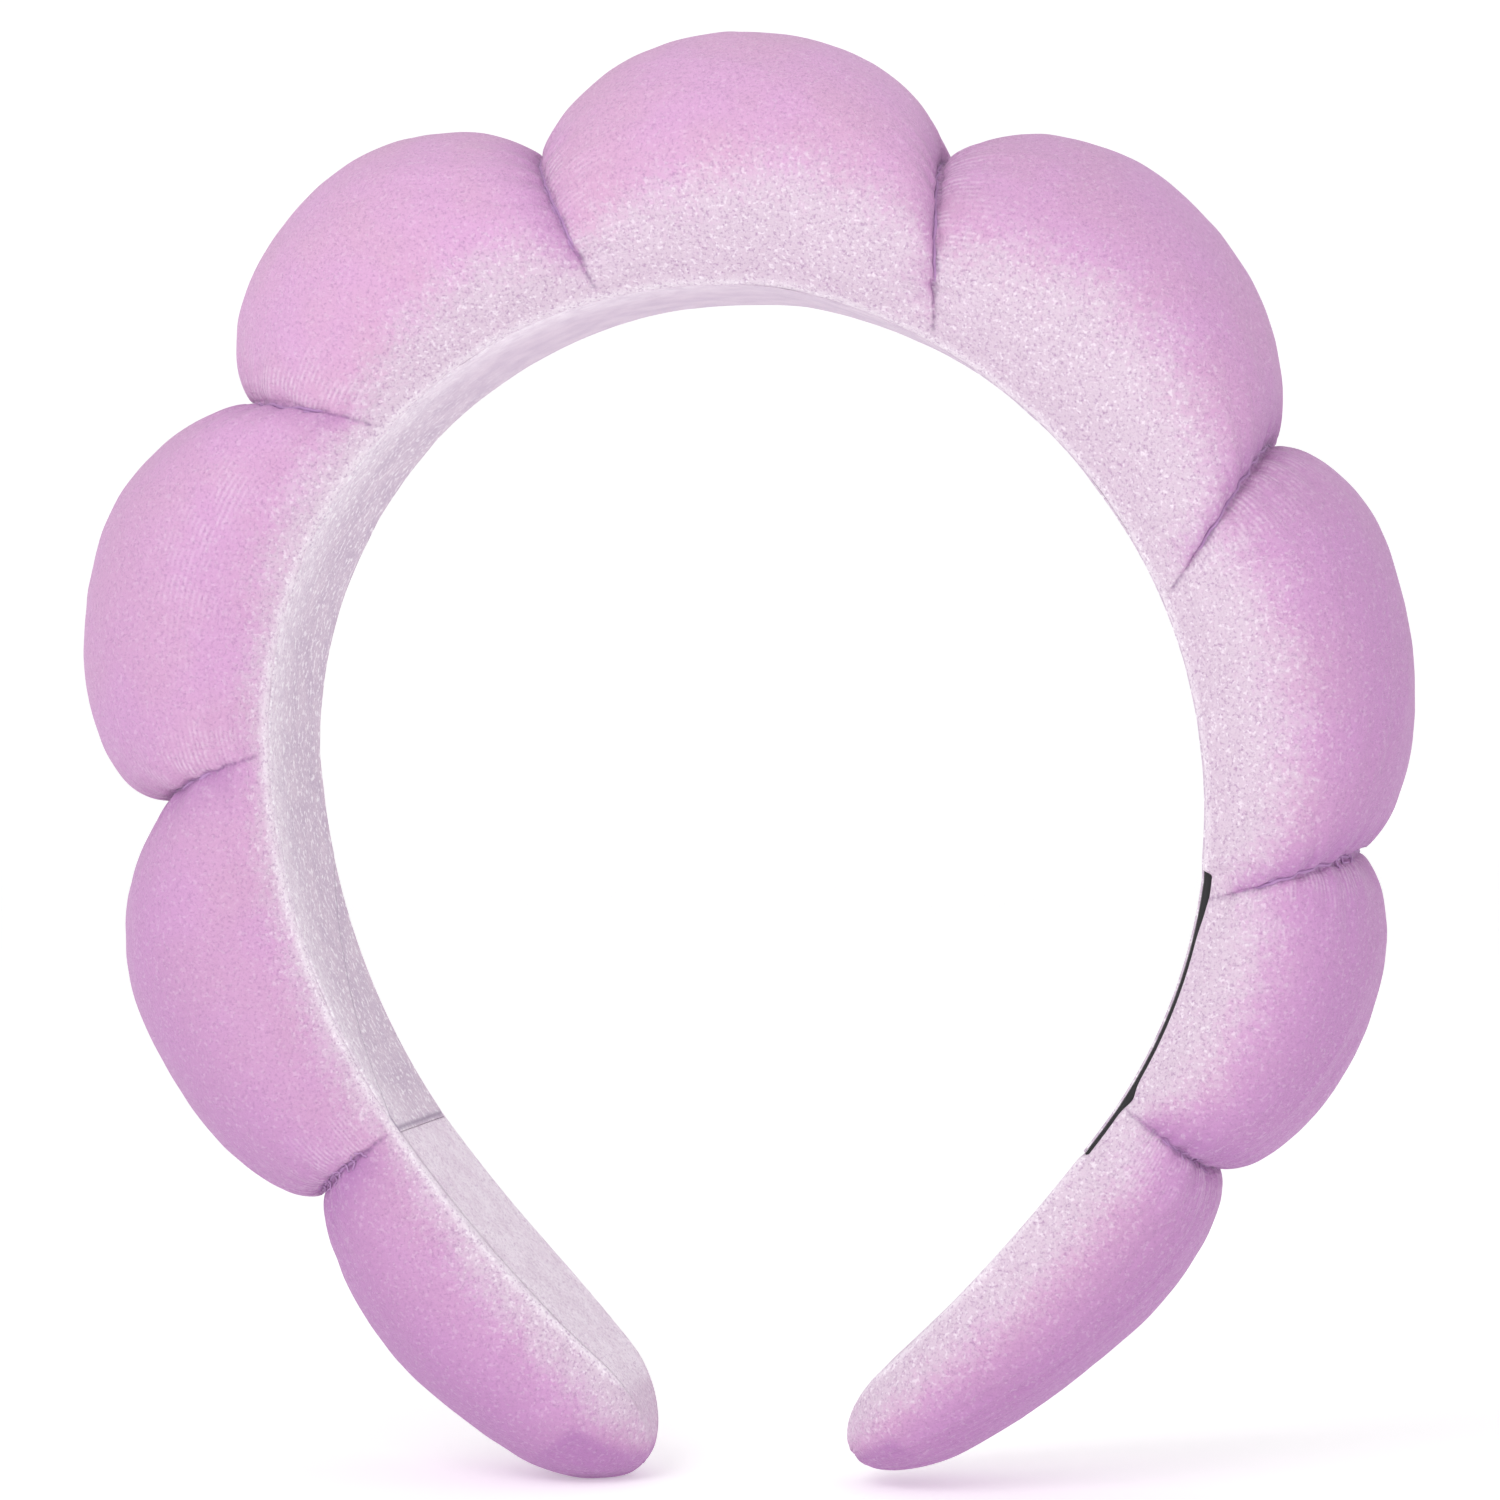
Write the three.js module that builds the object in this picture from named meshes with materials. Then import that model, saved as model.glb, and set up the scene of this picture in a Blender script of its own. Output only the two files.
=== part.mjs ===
// A padded spa headband. A springy plastic band carries a sponge roll in a velvet sleeve, and eight
// ties pinch the roll into nine lobes. A soft lining covers the band where it touches the head.
//
// Millimetres and degrees, +Z up, the front towards -Y. The origin is on the face that rests on the
// head, at the crown. A place on the headband is given as along, up and across: along the arch from
// the crown (negative down the left arm), up from the face that touches the head, and across the
// band (along Y).

import * as THREE from 'three';

// ---------- Driving dimensions ----------

// The arch that touches the head: a short flat at the crown, then each arm is a chain of tangent
// arcs, crown first.
const CROWN_FLAT = 4;
const ARCH = {
  left: [{ radius: 63, sweep: 95 }, { radius: 100, sweep: 31 }, { radius: 200, sweep: 8 }],
  right: [{ radius: 38, sweep: 14 }, { radius: 74, sweep: 113 }, { radius: 260, sweep: 12 }],
};

// The ties, from the crown down: where each pinches the roll, how far it leans away from the crown
// (along per up), and the height and depth of the roll inside it.
const TIES = {
  left: [
    { at: 17, lean: 0.16, height: 24.6, depth: 34 },
    { at: 53, lean: 0.46, height: 21.6, depth: 34 },
    { at: 103, lean: 0.3, height: 19, depth: 32 },
    { at: 160, lean: 0.04, height: 16.9, depth: 29 },
  ],
  right: [
    { at: 31.4, lean: -0.4, height: 24.8, depth: 34 },
    { at: 80, lean: -0.5, height: 23.3, depth: 34 },
    { at: 122, lean: -0.38, height: 20.9, depth: 32 },
    { at: 152, lean: 0.07, height: 16.1, depth: 28 },
  ],
};

// The lobes: height and depth where they are fullest, and face, the width of the flat inner side.
// fullAt is how far along the lobe that is, from the crown or, on the crown lobe, from the left.
// rounding says how its profile rounds before and after it: 1 is a plain arc and less is fuller.
const CROWN_LOBE = { height: 37.6, depth: 46, face: 32, fullAt: 0.59, rounding: [0.87, 0.5] };
const LOBES = {
  left: [
    { height: 35.8, depth: 45, face: 32, fullAt: 0.34, rounding: [0.78, 0.95] },
    { height: 32.8, depth: 42, face: 31, fullAt: 0.32, rounding: [0.61, 0.65] },
    { height: 29.6, depth: 39, face: 31, fullAt: 0.34, rounding: [0.87, 0.58] },
  ],
  right: [
    { height: 37.2, depth: 45, face: 32, fullAt: 0.57, rounding: [0.87, 0.5] },
    { height: 31.3, depth: 42, face: 31, fullAt: 0.41, rounding: [0.95, 0.55] },
    { height: 26.7, depth: 38, face: 30, fullAt: 0.37, rounding: [0.84, 0.7] },
  ],
};

// The tip lobes, which swell to their fullest at fullAt of their length and taper from there to a
// rounded nose.
const TIPS = {
  left: { length: 57.8, fullAt: 0.4, height: 23.9, depth: 36, face: 28, rounding: 0.81 },
  right: { length: 63.3, fullAt: 0.27, height: 21.9, depth: 34, face: 27, rounding: 0.55 },
};
const TIP_END = {
  left: { height: 16.9, depth: 24, face: 12 },
  right: { height: 13.6, depth: 22, face: 12 },
};
const TIP_NOSE = 13; // length of the rounded end
const TAPER_POWER = 1.65;
const NOSE_FLAT = 0.03; // squared share of the section that the blunt end of the nose keeps
const NECK_FACE = 22; // width of the flat inner side inside a tie
const SHOULDER = 0.42; // height of a section's widest point, as a share of its height

const LINING = { thick: 0.6, width: 24 };
const BAND = { thick: 1.2, width: 26, pastLastTie: { left: 0, right: 9 } };
const SLEEVE_WALL = 1;
const THREAD_RADIUS = 0.45;
const CLEARANCE = 0.3; // between neighbours
const NECK_LENGTH = 1.8; // straight stretch that a tie sits on

// How far each stretch of an arm can turn outwards at its tie, from the crown down. The arch
// spreads upwards, so a lobe leaning away by a share of the turn has room for all of it.
const OPENING = [8, 6.8, 4, 2];
const OPENING_SHARE = 0.75;

// Fineness of the curved surfaces.
const LOBE_STEPS = 8;
const TIP_STEPS = 8;
const NOSE_STEPS = 4;
const BAND_STEPS = 6;
const STUB_STEPS = 2;
const CORNER_STEPS = 3;
const BACK_STEPS = 8;
const THREAD_SIDES = 5;

// ---------- Worked out from them ----------

const BAND_LOW = LINING.thick + CLEARANCE;
const BAND_HIGH = BAND_LOW + BAND.thick;
const SLEEVE_LOW = BAND_HIGH + CLEARANCE;
const NECK_LOW = BAND_HIGH + 2 * THREAD_RADIUS + 2 * CLEARANCE;
const SPONGE_INSET = SLEEVE_WALL + CLEARANCE;
const SIDES = { left: -1, right: 1 };

const radians = THREE.MathUtils.degToRad;
const lerp = THREE.MathUtils.lerp;

// ---------- The arch ----------

// The point and heading a distance down one arm. Past its last arc the arm runs straight on.
function downArm(arcs, distance) {
  const point = new THREE.Vector2(Math.min(distance, CROWN_FLAT / 2), 0);
  let heading = 0;
  let left = distance - point.x;
  for (const arc of arcs) {
    const turn = Math.min(left / arc.radius, radians(arc.sweep));
    const chord = 2 * arc.radius * Math.sin(turn / 2);
    const middle = heading + turn / 2;
    point.x += chord * Math.cos(middle);
    point.y -= chord * Math.sin(middle);
    heading += turn;
    left -= turn * arc.radius;
  }
  point.x += left * Math.cos(heading);
  point.y -= left * Math.sin(heading);
  return { point, heading };
}

// A place on the headband, in the object's frame.
function place(along, up, across) {
  const side = along < 0 ? 'left' : 'right';
  const { point, heading } = downArm(ARCH[side], Math.abs(along));
  const x = SIDES[side] * (point.x + up * Math.sin(heading));
  const z = point.y + up * Math.cos(heading);
  return new THREE.Vector3(x, across, z);
}

// ---------- Skins ----------

// A closed surface through loops of points, each {at, points}. A ring of loops joins up with
// itself; otherwise the first and last loops are capped. Loops turn from +across towards up, and
// follow each other along the arch. Where at falls, the surface is the inside of a wall, and its
// quads are split the other way, so that they match those of what it encloses.
function skin(loops, ring = false) {
  const around = loops[0].points.length;
  const points = loops.flatMap((loop) => loop.points);
  const faces = [];
  const bands = ring ? loops.length : loops.length - 1;
  for (let i = 0; i < bands; i += 1) {
    const after = (i + 1) % loops.length;
    const inner = loops[after].at < loops[i].at;
    for (let j = 0; j < around; j += 1) {
      const k = (j + 1) % around;
      const [a, b] = [i * around + j, i * around + k];
      const [c, d] = [after * around + j, after * around + k];
      if (inner) faces.push(a, b, d, a, d, c);
      else faces.push(a, b, c, b, d, c);
    }
  }
  if (!ring) {
    cap(points, faces, loops[0].points, 0, false);
    cap(points, faces, loops.at(-1).points, (loops.length - 1) * around, true);
  }
  const geometry = new THREE.BufferGeometry();
  geometry.setFromPoints(points);
  geometry.setIndex(faces);
  geometry.computeVertexNormals();
  return geometry;
}

function cap(points, faces, loop, first, last) {
  const middle = new THREE.Vector3();
  for (const point of loop) middle.addScaledVector(point, 1 / loop.length);
  const hub = points.push(middle) - 1;
  for (let j = 0; j < loop.length; j += 1) {
    const k = (j + 1) % loop.length;
    if (last) faces.push(first + j, first + k, hub);
    else faces.push(first + k, first + j, hub);
  }
}

// ---------- Sections of the roll ----------

// A section's outline as {up, across}: a flat inner side, two soft corners and a domed back.
function outline(section, inset) {
  const low = section.low + inset;
  const high = section.height - inset;
  const half = section.depth / 2 - inset;
  const face = Math.min(section.face / 2, half - 0.5);
  const shoulder = low + (high - low) * SHOULDER;
  const points = [];
  const add = (centre, across, rise, angle) => {
    const up = shoulder + rise * Math.sin(angle);
    points.push({ up, across: centre + across * Math.cos(angle) });
  };
  for (let i = 0; i <= CORNER_STEPS; i += 1) {
    add(face, half - face, shoulder - low, ((i / CORNER_STEPS - 1) * Math.PI) / 2);
  }
  for (let i = 1; i < BACK_STEPS; i += 1) {
    add(0, half, high - shoulder, (i / BACK_STEPS) * Math.PI);
  }
  for (let i = 0; i <= CORNER_STEPS; i += 1) {
    add(-face, half - face, shoulder - low, Math.PI + ((i / CORNER_STEPS) * Math.PI) / 2);
  }
  return points;
}

// A section's outline where it lies in the object, shrunk towards its middle by shrink.
function sectionLoop(section, inset) {
  const middle = (section.low + section.height) / 2;
  const points = outline(section, inset).map(({ up, across }) => {
    const height = middle + (up - middle) * section.shrink;
    return place(section.at + height * section.lean, height, across * section.shrink);
  });
  return { at: section.at, points };
}

// From 0 at a lobe's ends to 1 where it is fullest, for share from 0 to 1.
function bulge(share, { fullAt, rounding }) {
  const before = share < fullAt;
  const x = (share - fullAt) / (before ? fullAt : 1 - fullAt);
  return Math.max(0, 1 - x * x) ** rounding[before ? 0 : 1];
}

// The same lobe seen from its other end.
function turned(lobe) {
  return { ...lobe, fullAt: 1 - lobe.fullAt, rounding: [...lobe.rounding].reverse() };
}

// Even steps from 0 to 1, closer together at both ends.
function shares(steps) {
  return Array.from({ length: steps + 1 }, (_, i) => (1 - Math.cos((Math.PI * i) / steps)) / 2);
}

// One end of a lobe. turn is the angle its neighbour can turn towards it there.
function lobeEnd(side, tie, towards, turn = 0) {
  const out = SIDES[side];
  const back = towards * CLEARANCE;
  return {
    at: out * tie.at + back,
    lean: out * tie.lean + towards * OPENING_SHARE * Math.tan(radians(turn)),
    low: NECK_LOW,
    height: tie.height,
    depth: tie.depth,
    shrink: 1,
  };
}

function between(a, b, share, fields) {
  return Object.fromEntries(fields.map((name) => [name, lerp(a[name], b[name], share)]));
}

// The sections of a lobe between two ends, in order along the arch. A lobe starts and ends with a
// straight neck, where it says so.
function lobeSections(start, end, lobe) {
  const sections = shares(LOBE_STEPS).map((share) => {
    const full = bulge(share, lobe);
    const ends = between(start, end, share, ['lean', 'height', 'depth']);
    return {
      at: lerp(start.at + start.neck, end.at - end.neck, share),
      lean: ends.lean,
      low: lerp(NECK_LOW, SLEEVE_LOW, Math.min(1, full * 2)),
      height: lerp(ends.height, lobe.height, full),
      depth: lerp(ends.depth, lobe.depth, full),
      face: lerp(NECK_FACE, lobe.face, full),
      shrink: 1,
    };
  });
  if (start.neck) sections.unshift({ ...sections[0], at: start.at, lean: start.lean });
  if (end.neck) sections.push({ ...sections.at(-1), at: end.at, lean: end.lean });
  return sections;
}

// The sections of a tip lobe, from its tie to the rounded end.
function tipSections(start, side) {
  const out = SIDES[side];
  const tip = TIPS[side];
  const end = TIP_END[side];
  const nose = 1 - TIP_NOSE / tip.length;
  const swelling = shares(TIP_STEPS).map((share) => (share * (1 + nose)) / 2);
  const rounding = Array.from({ length: NOSE_STEPS }, (_, i) => (
    lerp(nose, 1, Math.sin(((i + 1) / NOSE_STEPS) * (Math.PI / 2)))
  ));
  const steps = [...swelling.filter((share) => share < nose), nose, ...rounding];
  return steps.map((share) => {
    const short = 1 - Math.min(1, share / tip.fullAt);
    const full = (1 - short * short) ** tip.rounding;
    const taper = Math.max(0, (share - tip.fullAt) / (1 - tip.fullAt)) ** TAPER_POWER;
    const round = Math.max(0, (share - nose) / (1 - nose));
    return {
      at: start.at + out * share * tip.length,
      lean: lerp(start.lean, 0, Math.min(1, share * 2)),
      low: lerp(NECK_LOW, SLEEVE_LOW, Math.min(1, full * 2)),
      height: lerp(lerp(start.height, tip.height, full), end.height, taper),
      depth: lerp(lerp(start.depth, tip.depth, full), end.depth, taper),
      face: lerp(lerp(NECK_FACE, tip.face, full), end.face, taper),
      shrink: Math.sqrt(Math.max(NOSE_FLAT, 1 - round * round)),
    };
  });
}

// ---------- Materials ----------

const MATERIALS = {
  velvet: new THREE.MeshStandardMaterial({ color: 0xc998d2, roughness: 0.8, metalness: 0 }),
  sponge: new THREE.MeshStandardMaterial({ color: 0xf2ead2, roughness: 0.95, metalness: 0 }),
  plastic: new THREE.MeshStandardMaterial({ color: 0x141216, roughness: 0.45, metalness: 0 }),
  lining: new THREE.MeshStandardMaterial({ color: 0xd9c6df, roughness: 0.7, metalness: 0 }),
  thread: new THREE.MeshStandardMaterial({ color: 0x7d4f8a, roughness: 0.75, metalness: 0 }),
};

const headband = new THREE.Group();

function add(name, geometry, material) {
  const mesh = new THREE.Mesh(geometry, material.clone());
  mesh.name = name;
  headband.add(mesh);
}

// ---------- Pieces ----------

// Sleeve and sponge of one lobe. Its sections run along the arch.
function addLobe(name, sections) {
  const outside = sections.map((section) => sectionLoop(section, 0));
  const inside = sections.map((section) => sectionLoop(section, SLEEVE_WALL));
  add(`sleeve_${name}`, skin([...outside, ...inside.reverse()], true), MATERIALS.velvet);
  const sponge = sections.map((section) => sectionLoop(section, SPONGE_INSET));
  add(`sponge_${name}`, skin(sponge), MATERIALS.sponge);
}

// Sleeve and sponge of a tip lobe, whose sleeve is closed at the nose.
function addTip(name, sections, side) {
  const ordered = (loops) => (SIDES[side] > 0 ? loops : [...loops].reverse());
  const outside = sections.map((section) => sectionLoop(section, 0));
  const inner = (inset) => sections.slice(0, -1).map((section) => sectionLoop(section, inset));
  const cup = [...inner(SLEEVE_WALL).reverse(), ...outside];
  add(`sleeve_${name}`, skin(ordered(cup)), MATERIALS.velvet);
  add(`sponge_${name}`, skin(ordered(inner(SPONGE_INSET).slice(0, -1))), MATERIALS.sponge);
}

// A flat strip through stops along the arch, such as a stretch of the band or of the lining.
function strip(stops, low, high, width) {
  const loops = stops.map((at) => {
    const points = [
      place(at, low, width / 2), place(at, high, width / 2),
      place(at, high, -width / 2), place(at, low, -width / 2),
    ];
    return { points };
  });
  return skin(loops);
}

// Even stops from one place along the arch to another.
function stopsBetween(from, to, steps) {
  return Array.from({ length: steps + 1 }, (_, i) => lerp(from, to, i / steps));
}

// Even stops down one arm, in order along the arch.
function armStops(side, from, to, steps) {
  const out = SIDES[side];
  const stops = stopsBetween(out * from, out * to, steps);
  return out > 0 ? stops : stops.reverse();
}

function addBand(name, stops) {
  add(`band_${name}`, strip(stops, BAND_LOW, BAND_HIGH, BAND.width), MATERIALS.plastic);
  add(`lining_${name}`, strip(stops, 0, LINING.thick, LINING.width), MATERIALS.lining);
}

// A thread wound round the neck above a tie.
function addTie(name, side, tie) {
  const gap = CLEARANCE + THREAD_RADIUS;
  const out = SIDES[side];
  const at = out * tie.at - out * (CLEARANCE + NECK_LENGTH / 2);
  const neck = { low: NECK_LOW, height: tie.height, depth: tie.depth, face: NECK_FACE };
  const path = outline(neck, -gap);
  const loops = path.map(({ up, across }, i) => {
    const before = path.at(i - 1);
    const after = path[(i + 1) % path.length];
    const outward = new THREE.Vector2(after.up - before.up, before.across - after.across);
    outward.normalize();
    const points = Array.from({ length: THREAD_SIDES }, (_, j) => {
      const angle = (2 * Math.PI * j) / THREAD_SIDES;
      const off = THREAD_RADIUS * Math.cos(angle);
      const height = up + off * outward.y;
      const slide = -THREAD_RADIUS * Math.sin(angle);
      return place(at + slide + height * out * tie.lean, height, across + off * outward.x);
    });
    return { points };
  });
  add(`tie_${name}`, skin(loops, true), MATERIALS.thread);
}

// ---------- Assembly ----------

// Ends of the lobes, from the crown down. The lobe above a tie keeps the neck it sits on; the lobe
// below leaves room to turn.
const above = (side, i) => ({
  ...lobeEnd(side, TIES[side][i], -SIDES[side]), neck: NECK_LENGTH,
});
const below = (side, i) => ({
  ...lobeEnd(side, TIES[side][i], SIDES[side], OPENING[i]), neck: 0,
});

addLobe('crown', lobeSections(above('left', 0), above('right', 0), CROWN_LOBE));
addBand('crown', [
  ...stopsBetween(CLEARANCE - TIES.left[0].at, -CROWN_FLAT / 2, BAND_STEPS / 2),
  ...stopsBetween(CROWN_FLAT / 2, TIES.right[0].at - CLEARANCE, BAND_STEPS / 2),
]);

for (const side of ['left', 'right']) {
  const out = SIDES[side];
  const ties = TIES[side];
  LOBES[side].forEach((lobe, i) => {
    const name = `${side}_${i + 1}`;
    const [near, far] = [below(side, i), above(side, i + 1)];
    const sections = out < 0
      ? lobeSections(far, near, turned(lobe))
      : lobeSections(near, far, lobe);
    addLobe(name, sections);
    addBand(name, armStops(side, ties[i].at + CLEARANCE, ties[i + 1].at - CLEARANCE, BAND_STEPS));
  });
  const last = ties.length - 1;
  addTip(`${side}_tip`, tipSections(below(side, last), side), side);
  const stub = BAND.pastLastTie[side];
  if (stub > 0) {
    const start = ties[last].at + CLEARANCE;
    addBand(`${side}_tip`, armStops(side, start, start + stub, STUB_STEPS));
  }
  ties.forEach((tie, i) => addTie(`${side}_${i + 1}`, side, tie));
}

export default headband;
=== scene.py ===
"""The looks of a padded velvet spa headband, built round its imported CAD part.

Distances are in millimetres until make_mesh() turns them into metres. As in the part's source, a
place on the headband is along, up and across: along the arch from the crown (negative down the
left arm), up from the face that touches the head, and across the band (along Y).
"""

import math

import bpy
import numpy as np
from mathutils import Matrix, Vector


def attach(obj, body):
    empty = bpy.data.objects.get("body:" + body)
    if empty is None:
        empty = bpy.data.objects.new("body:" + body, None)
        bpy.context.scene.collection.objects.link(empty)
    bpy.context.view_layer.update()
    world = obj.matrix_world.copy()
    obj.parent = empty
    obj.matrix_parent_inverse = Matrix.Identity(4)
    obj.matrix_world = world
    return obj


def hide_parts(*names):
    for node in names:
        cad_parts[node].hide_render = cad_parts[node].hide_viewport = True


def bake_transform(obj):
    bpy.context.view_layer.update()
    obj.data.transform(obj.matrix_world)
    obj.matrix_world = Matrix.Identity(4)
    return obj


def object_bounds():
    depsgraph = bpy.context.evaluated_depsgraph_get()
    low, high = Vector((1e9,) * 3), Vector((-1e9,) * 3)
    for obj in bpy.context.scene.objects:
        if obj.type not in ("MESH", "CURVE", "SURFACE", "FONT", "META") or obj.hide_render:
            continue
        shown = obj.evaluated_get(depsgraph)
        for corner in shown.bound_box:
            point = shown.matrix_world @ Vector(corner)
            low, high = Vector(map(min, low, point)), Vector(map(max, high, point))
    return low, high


MM = 0.001
CLOTH_UNIT = 0.01
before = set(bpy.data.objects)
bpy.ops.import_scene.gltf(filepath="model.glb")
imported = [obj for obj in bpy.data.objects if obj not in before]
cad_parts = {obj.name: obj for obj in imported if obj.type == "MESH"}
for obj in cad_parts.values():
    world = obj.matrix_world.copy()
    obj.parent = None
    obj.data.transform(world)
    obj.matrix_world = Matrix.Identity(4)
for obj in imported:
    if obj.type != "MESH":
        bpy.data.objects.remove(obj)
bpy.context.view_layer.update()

# ---------- Sizes, as in the part's source ----------

CROWN_FLAT = 4
ARCH = {
    "left": [(63, 95), (100, 31), (200, 8)],
    "right": [(38, 14), (74, 113), (260, 12)],
}
SIDES = {"left": -1, "right": 1}

# Each tie, from the crown down: at, lean away from the crown, height and depth of the pinched roll.
TIES = {
    "left": [(17, 0.16, 24.6, 34), (53, 0.46, 21.6, 34), (103, 0.3, 19, 32), (160, 0.04, 16.9, 29)],
    "right": [(31.4, -0.4, 24.8, 34), (80, -0.5, 23.3, 34), (122, -0.38, 20.9, 32), (152, 0.07, 16.1, 28)],
}
# How much further than in the part's source each tie pulls the velvet in.
PULLED = {"left": (0.5, 1.0, 1.3, 0.0), "right": (0.35, 0.4, 0.0, 0.0)}
# Each lobe: height and depth at its fullest, how far along it is fullest, and how its profile
# rounds before and after that (a power: 1 is a plain arc, less is fuller).
CROWN_LOBE = (37.6, 46, 0.59, 0.87, 0.5)
LOBES = {
    "left": [(35.8, 45, 0.34, 0.78, 0.95), (32.8, 42, 0.32, 0.61, 0.65), (29.6, 39, 0.34, 0.87, 0.58)],
    "right": [(37.2, 45, 0.57, 0.87, 0.5), (31.3, 42, 0.41, 0.95, 0.55), (26.7, 38, 0.37, 0.84, 0.7)],
}
# Each tip lobe: height, depth, where it is fullest, rounding, height at the nose, taper power,
# length and length of the rounded nose.
TIPS = {
    "left": (23.9, 36, 0.4, 0.81, 16.9, 1.7, 57.8, 14),
    "right": (21.9, 34, 0.27, 0.55, 13.6, 1.6, 63.3, 12),
}
NOSE_DEPTH = 24
NOSE_FACE = 12
FACE_AT_TIE, FACE_AT_FULL = 29, 31
BAND_WIDTH = 26
BAND_LOW, BAND_HIGH = 0.6, 2.2
BAND_EDGE = 0.45  # radius of its edges
BAND_END = {"left": 160, "right": 161}
LINING_THICK = 0.3
LINING_INSET = 0.8  # from the ridge of the velvet
LINING_BARE = 12.1  # half width beside the bare stretch of the band
THREAD_RADIUS = 0.24

# ---------- Fineness ----------

LOBE_STEPS = 96
TIP_STEPS = 120
SHELL_STEPS = 250
SIDE_STEPS, BACK_STEPS = 60, 90
FLOOR_STEPS = 12
WALL_STEPS = 3
NOSE_STEPS = 40
LINING_COLUMNS = 110
THREAD_STEP = 0.28

# ---------- The arch ----------


def down_arm(side, distance):
    """Points and headings at distances down one arm."""
    distance = np.asarray(distance, float)
    x = np.minimum(distance, CROWN_FLAT / 2)
    z = np.zeros_like(x)
    heading = np.zeros_like(x)
    left = distance - x
    for radius, sweep in ARCH[side]:
        turn = np.minimum(left / radius, math.radians(sweep))
        chord = 2 * radius * np.sin(turn / 2)
        x = x + chord * np.cos(heading + turn / 2)
        z = z - chord * np.sin(heading + turn / 2)
        heading = heading + turn
        left = left - turn * radius
    return x + left * np.cos(heading), z - left * np.sin(heading), heading


def place(along, up, across):
    """Places on the headband as points in its frame, in mm."""
    along, up, across = np.broadcast_arrays(*(np.asarray(v, float) for v in (along, up, across)))
    x_l, z_l, h_l = down_arm("left", np.maximum(-along, 0))
    x_r, z_r, h_r = down_arm("right", np.maximum(along, 0))
    on_left = along < 0
    x = np.where(on_left, -(x_l + up * np.sin(h_l)), x_r + up * np.sin(h_r))
    z = np.where(on_left, z_l + up * np.cos(h_l), z_r + up * np.cos(h_r))
    return np.stack([x, across, z], -1)


def mix(a, b, share):
    return a + (b - a) * share


def smooth(low, high, value):
    t = np.clip((np.asarray(value, float) - low) / (high - low), 0, 1)
    return t * t * (3 - 2 * t)


def waves(seed, value, length, count=5):
    """A smooth random curve through value, from about -1 to 1, with waves near length long."""
    rng = np.random.default_rng(seed)
    total = np.zeros_like(np.asarray(value, float))
    for _ in range(count):
        wavelength = length * rng.uniform(0.7, 1.6)
        total = total + np.sin(2 * math.pi * (value / wavelength + rng.random()))
    return total / math.sqrt(count) / 1.3


def lumps(seed, a, b, length, count=14):
    """A smooth random surface over a and b, from about -1 to 1, with lumps near length across."""
    rng = np.random.default_rng(seed)
    total = np.zeros(np.broadcast(a, b).shape)
    for _ in range(count):
        wavelength = length * rng.uniform(0.7, 1.7)
        turn = rng.uniform(0, 2 * math.pi)
        way = a * math.cos(turn) + b * math.sin(turn)
        total = total + np.sin(2 * math.pi * (way / wavelength + rng.random()))
    return total / math.sqrt(count) / 1.2


# ---------- Sections of the roll ----------


class Section:
    """One section of the roll: where it lies, how it leans and its outline's sizes."""

    def __init__(self, along, lean, height, depth, face, gap, shrink=1.0):
        self.along, self.lean = along, lean
        self.height, self.depth, self.face = height, depth, face
        self.shrink = shrink
        self.gap = gap  # along the arch to the nearest tie


def signed_ties(side):
    out = SIDES[side]
    return [
        (out * at, out * lean, height - pulled, depth)
        for (at, lean, height, depth), pulled in zip(TIES[side], PULLED[side])
    ]


def swell(share, fullest, before, after):
    """0 at a lobe's ends and 1 where it is fullest."""
    x = (share - fullest) / (fullest if share < fullest else 1 - fullest)
    return max(0.0, 1 - x * x) ** (before if share < fullest else after)


def eased(steps):
    """Shares from 0 to 1, closer together at both ends."""
    t = np.linspace(0, 1, steps + 1)
    return mix(t, (1 - np.cos(math.pi * t)) / 2, 0.72)


def lobe_sections(start, end, lobe):
    """Sections of a lobe between two ties, in order along the arch."""
    height, depth, fullest, before, after = lobe
    made = []
    for share in eased(LOBE_STEPS):
        full = swell(share, fullest, before, after)
        along = mix(start[0], end[0], share)
        nearer = start if share < 0.5 else end
        made.append(Section(
            along,
            mix(start[1], end[1], share),
            mix(mix(start[2], end[2], share), height, full),
            mix(mix(start[3], end[3], share) + BRIDGE, depth, full),
            mix(FACE_AT_TIE, FACE_AT_FULL, full),
            gap=abs(along - nearer[0]),
        ))
    return made


def tip_sections(side):
    """Sections of a tip lobe, from its tie to the nose."""
    out = SIDES[side]
    start = signed_ties(side)[-1]
    height, depth, fullest, power, end_height, taper_power, length, nose_length = TIPS[side]
    nose = 1 - nose_length / length
    main = nose * eased(TIP_STEPS)
    rounding = nose + (1 - nose) * np.sin(np.linspace(0, math.pi / 2, NOSE_STEPS)[1:])
    made = []
    for share in [*main, *rounding]:
        full = max(0.0, 1 - (1 - min(1.0, share / fullest)) ** 2) ** power
        taper = max(0.0, (share - fullest) / (1 - fullest)) ** taper_power
        near_nose = max(0.0, (share - nose) / (1 - nose))
        face = mix(FACE_AT_TIE, FACE_AT_FULL, full)
        made.append(Section(
            start[0] + out * share * length,
            start[1] * max(0.0, 1 - 2 * share),
            mix(mix(start[2], height, full), end_height, taper),
            mix(mix(start[3] + BRIDGE, depth, full), NOSE_DEPTH, taper),
            mix(face, NOSE_FACE, taper),
            shrink=math.sqrt(max(0.0004, 1 - near_nose * near_nose)),
            gap=share * length,
        ))
    return made


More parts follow.
